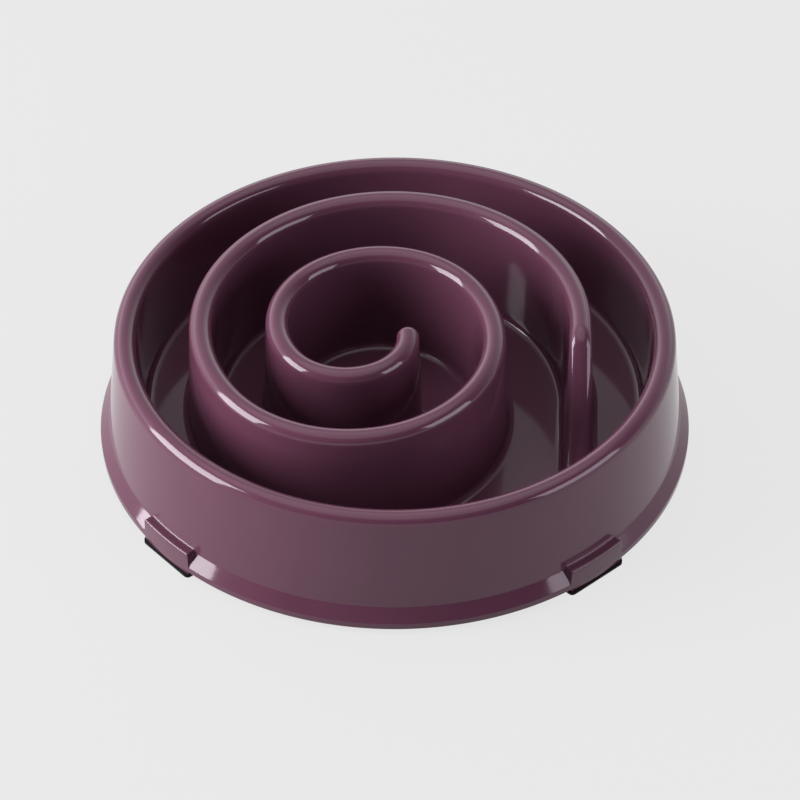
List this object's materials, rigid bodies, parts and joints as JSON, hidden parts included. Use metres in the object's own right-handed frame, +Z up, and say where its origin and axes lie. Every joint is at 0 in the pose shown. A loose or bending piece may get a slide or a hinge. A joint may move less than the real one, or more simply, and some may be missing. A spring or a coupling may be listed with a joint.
{
  "type": "slow feeder bowl",
  "caption": "Round slow feeder pet bowl: a tall spiral ridge rises from its floor inside a rounded, hollow rim, and it stands on rubber feet pressed into tabs on its ledge.",
  "frame": {"origin": "on the bowl's axis, in the plane of the undersides of the four feet", "axes": "+Z up along the bowl's axis, -Y towards the viewer of the picture, +X to the right"},
  "size_m": [0.25, 0.25, 0.0655],
  "materials": {
    "plum_plastic": "gloss moulded",
    "black_rubber": "matt"
  },
  "bodies": {
    "root": {"bowl_shell": "plum_plastic", "foot_front_right": "black_rubber", "foot_back_right": "black_rubber", "foot_back_left": "black_rubber", "foot_front_left": "black_rubber"}
  },
  "joints": []
}
